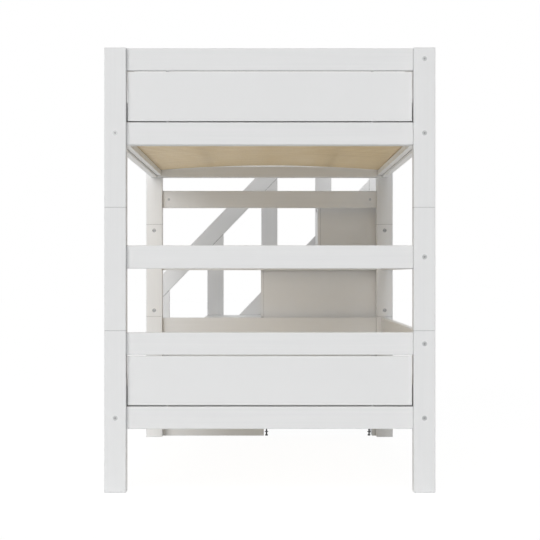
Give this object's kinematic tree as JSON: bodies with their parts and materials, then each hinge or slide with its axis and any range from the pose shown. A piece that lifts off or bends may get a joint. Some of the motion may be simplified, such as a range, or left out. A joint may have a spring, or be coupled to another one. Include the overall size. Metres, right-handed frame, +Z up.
{
  "type": "bunk bed with storage stairs",
  "caption": "Two-level wooden bunk bed with slatted bases and a storage staircase with drawers and a slanted handrail across one end.",
  "frame": {"origin": "on the floor, under the middle of the whole bed with its stairs", "axes": "+X to the wall side, +Y to the end with the stairs, +Z up; the room side is -X"},
  "size_m": [1.02, 2.625, 1.371],
  "materials": {
    "white_paint": "satin white paint on planed wood and board",
    "birch_slat": "clear-coated bent birch laminate",
    "drawer_birch": "clear-coated birch plywood and beech",
    "zinc_steel": "bright zinc",
    "dark_steel": "dark coated steel"
  },
  "bodies": {
    "bed": {"post_front_foot_lower": "white_paint", "posts_middle": "white_paint", "post_front_foot_upper": "white_paint", "frame_fasteners": "zinc_steel", "post_front_stair_lower": "white_paint", "post_front_stair_upper": "white_paint", "post_wall_foot_lower": "white_paint", "post_wall_foot_upper": "white_paint", "post_wall_stair_lower": "white_paint", "post_wall_stair_upper": "white_paint", "foot_upper_bottom_rail": "white_paint", "wood_dowels": "drawer_birch", "foot_upper_top_rail": "white_paint", "foot_upper_panel": "white_paint", "foot_lower_bottom_rail": "white_paint", "foot_lower_top_rail": "white_paint", "foot_lower_panel": "white_paint", "foot_middle_rail": "white_paint", "stair_end_upper_bottom_rail": "white_paint", "stair_end_upper_top_rail": "white_paint", "stair_end_upper_panel": "white_paint", "stair_end_lower_bottom_rail": "white_paint", "stair_end_lower_top_rail": "white_paint", "stair_end_lower_panel": "white_paint", "stair_end_middle_rail": "white_paint", "stair_end_access_post": "white_paint", "stair_end_tie_rail": "white_paint", "side_rail_upper_front": "white_paint", "side_rail_upper_wall": "white_paint", "side_rail_lower_front": "white_paint", "side_rail_lower_wall": "white_paint", "guard_rail_front": "white_paint", "guard_rail_wall": "white_paint", "back_rail_middle": "white_paint", "back_rail_lower": "white_paint", "inner_end_boards": "white_paint", "slat_cleats": "white_paint", "slats_upper": "birch_slat", "slats_lower": "birch_slat", "stair_inner_sides": "white_paint", "stair_outer_sides": "white_paint", "stair_tread_1": "white_paint", "stair_tread_2": "white_paint", "stair_tread_3": "white_paint", "stair_tread_4": "white_paint", "stair_base_boards": "drawer_birch", "stair_back_panel": "white_paint", "levelling_feet": "dark_steel", "stair_uprights": "white_paint", "stair_handrail": "white_paint", "stair_slanted_rail": "white_paint", "drawer_runners": "drawer_birch"},
    "drawer_1": {"drawer_1_front": "white_paint", "drawer_1_box": "drawer_birch"},
    "drawer_2": {"drawer_2_front": "white_paint", "drawer_2_box": "drawer_birch"},
    "drawer_3": {"drawer_3_front": "white_paint", "drawer_3_box": "drawer_birch"},
    "drawer_4": {"drawer_4_front": "white_paint", "drawer_4_box": "drawer_birch"}
  },
  "joints": [
    {"name": "drawer_1_slide", "type": "slide", "parent": "bed", "child": "drawer_1", "axis": [-1, 0, 0], "range_m": [0, 0.32]},
    {"name": "drawer_2_slide", "type": "slide", "parent": "bed", "child": "drawer_2", "axis": [-1, 0, 0], "range_m": [0, 0.32]},
    {"name": "drawer_3_slide", "type": "slide", "parent": "bed", "child": "drawer_3", "axis": [-1, 0, 0], "range_m": [0, 0.32]},
    {"name": "drawer_4_slide", "type": "slide", "parent": "bed", "child": "drawer_4", "axis": [-1, 0, 0], "range_m": [0, 0.14]}
  ]
}
